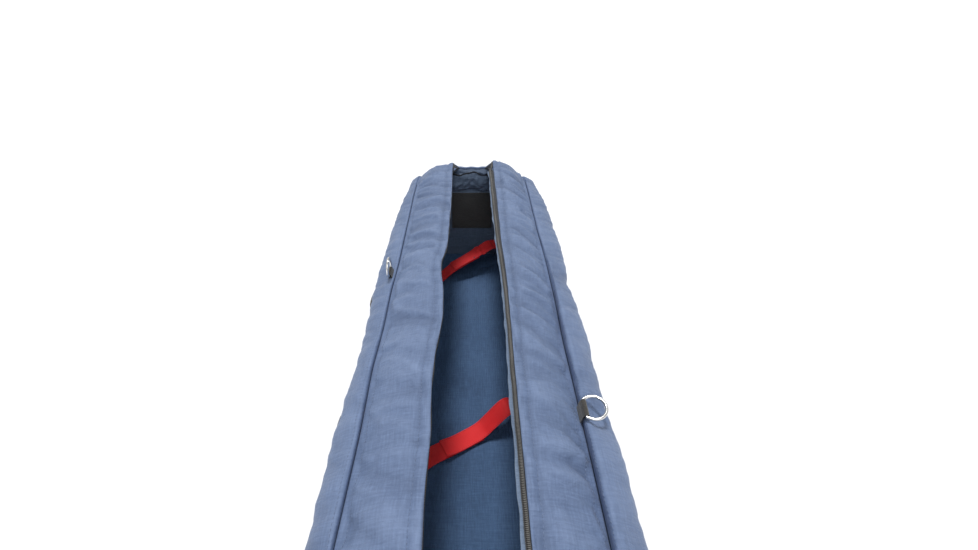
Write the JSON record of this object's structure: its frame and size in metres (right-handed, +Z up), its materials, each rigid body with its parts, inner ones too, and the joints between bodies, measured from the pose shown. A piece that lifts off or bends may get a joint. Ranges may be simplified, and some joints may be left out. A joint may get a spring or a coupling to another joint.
{
  "type": "telescope carry case",
  "caption": "Long soft padded carry case with a lengthwise zip opening, padded lid flaps, inner hold-down straps, strap rings and side grab handles, shown open.",
  "frame": {"origin": "centre of the case's underside, on the ground", "axes": "+Z up; +Y along the case to its far end; +X to the right, looking along +Y"},
  "size_m": [0.3304, 1, 0.2646],
  "materials": {
    "outer_nylon": "woven, slightly shiny",
    "lining_nylon": "woven",
    "foam": "soft foam",
    "stiffener_board": "matt sheet",
    "loop_patch": "looped pile",
    "red_webbing": "ribbed webbing",
    "black_webbing": "ribbed webbing",
    "dark_webbing": "ribbed webbing",
    "ring_steel": "polished",
    "slider_metal": "satin",
    "zip_coil": "moulded coil",
    "zip_tape": "woven tape"
  },
  "bodies": {
    "base": {"floor_skin": "outer_nylon", "floor_board": "stiffener_board", "floor_foam": "foam", "floor_lining": "lining_nylon", "end_far_skin": "outer_nylon", "end_far_foam": "foam", "end_far_lining": "lining_nylon", "end_far_patch": "loop_patch", "corner_far_left_skin": "outer_nylon", "corner_far_left_lining": "lining_nylon", "corner_far_right_skin": "outer_nylon", "corner_far_right_lining": "lining_nylon", "zip_end_far": "zip_tape", "end_near_skin": "outer_nylon", "end_near_foam": "foam", "end_near_lining": "lining_nylon", "end_near_patch": "loop_patch", "corner_near_left_skin": "outer_nylon", "corner_near_left_lining": "lining_nylon", "corner_near_right_skin": "outer_nylon", "corner_near_right_lining": "lining_nylon", "zip_end_near": "zip_tape", "strap_1_sewn": "red_webbing", "strap_1_anchor": "red_webbing", "strap_2_sewn": "red_webbing", "strap_2_anchor": "red_webbing", "strap_3_sewn": "red_webbing", "strap_3_anchor": "red_webbing"},
    "left_side": {"left_side_skin": "outer_nylon", "left_side_foam": "foam", "left_side_lining": "lining_nylon", "left_ring_tab": "dark_webbing", "left_handle_far_patch": "black_webbing", "left_handle_near_patch": "black_webbing"},
    "left_lid": {"left_lid_skin": "outer_nylon", "left_lid_lining": "lining_nylon", "left_zip_tape": "zip_tape", "left_zip_coil": "zip_coil"},
    "left_ring": {"left_ring": "ring_steel"},
    "left_handle": {"left_handle": "black_webbing"},
    "right_side": {"right_side_skin": "outer_nylon", "right_side_foam": "foam", "right_side_lining": "lining_nylon", "right_ring_tab": "dark_webbing", "right_handle_far_patch": "black_webbing", "right_handle_near_patch": "black_webbing"},
    "right_lid": {"right_lid_skin": "outer_nylon", "right_lid_lining": "lining_nylon", "right_zip_tape": "zip_tape", "right_zip_coil": "zip_coil"},
    "right_ring": {"right_ring": "ring_steel"},
    "right_handle": {"right_handle": "black_webbing"},
    "zip_slider": {"zip_slider": "slider_metal"},
    "zip_pull": {"zip_pull": "slider_metal"},
    "strap_1": {"strap_1_peel": "red_webbing"},
    "strap_2": {"strap_2_peel": "red_webbing"},
    "strap_3": {"strap_3_peel": "red_webbing"}
  },
  "joints": [
    {"name": "left_side_close", "type": "hinge", "parent": "base", "child": "left_side", "pos_m": [-0.128, 0, 0.01], "axis": [0, 1, 0], "range_deg": [0, 9.5]},
    {"name": "right_side_close", "type": "hinge", "parent": "base", "child": "right_side", "pos_m": [0.128, 0, 0.01], "axis": [0, -1, 0], "range_deg": [0, 9.5]},
    {"name": "left_lid_lift", "type": "hinge", "parent": "left_side", "child": "left_lid", "pos_m": [-0.12884, 0, 0.23494], "axis": [0, -1, 0], "range_deg": [0, 65]},
    {"name": "right_lid_lift", "type": "hinge", "parent": "right_side", "child": "right_lid", "pos_m": [0.12884, 0, 0.23494], "axis": [0, 1, 0], "range_deg": [0, 65]},
    {"name": "left_ring_swing", "type": "hinge", "parent": "left_side", "child": "left_ring", "pos_m": [-0.13218, 0.125, 0.23826], "axis": [0, -1, 0], "range_deg": [0, 108]},
    {"name": "right_ring_swing", "type": "hinge", "parent": "right_side", "child": "right_ring", "pos_m": [0.13218, -0.126, 0.23826], "axis": [0, -1, 0], "range_deg": [-26, 82]},
    {"name": "left_handle_swing", "type": "hinge", "parent": "left_side", "child": "left_handle", "pos_m": [-0.16356, 0, 0.18858], "axis": [0, 1, 0], "range_deg": [-7, 170]},
    {"name": "right_handle_swing", "type": "hinge", "parent": "right_side", "child": "right_handle", "pos_m": [0.16356, 0, 0.18858], "axis": [0, -1, 0], "range_deg": [-7, 170]},
    {"name": "zip_slide", "type": "slide", "parent": "base", "child": "zip_slider", "axis": [0, 1, 0], "range_m": [0, 0.918]},
    {"name": "zip_pull_flip", "type": "hinge", "parent": "zip_slider", "child": "zip_pull", "pos_m": [0, -0.4647, 0.243], "axis": [-1, 0, 0], "range_deg": [0, 170]},
    {"name": "strap_1_peel_up", "type": "hinge", "parent": "base", "child": "strap_1", "pos_m": [0.08723, -0.36135, 0.0171], "axis": [-0.4871, 0.8734, 0], "range_deg": [0, 60]},
    {"name": "strap_2_peel_up", "type": "hinge", "parent": "base", "child": "strap_2", "pos_m": [0.08723, 0.00665, 0.0171], "axis": [-0.4871, 0.8734, 0], "range_deg": [0, 60]},
    {"name": "strap_3_peel_up", "type": "hinge", "parent": "base", "child": "strap_3", "pos_m": [0.08723, 0.45865, 0.0171], "axis": [-0.4871, 0.8734, 0], "range_deg": [0, 50]}
  ],
  "couplings": [
    {"joint": "right_side_close", "follows": "left_side_close", "ratio": 1}
  ]
}
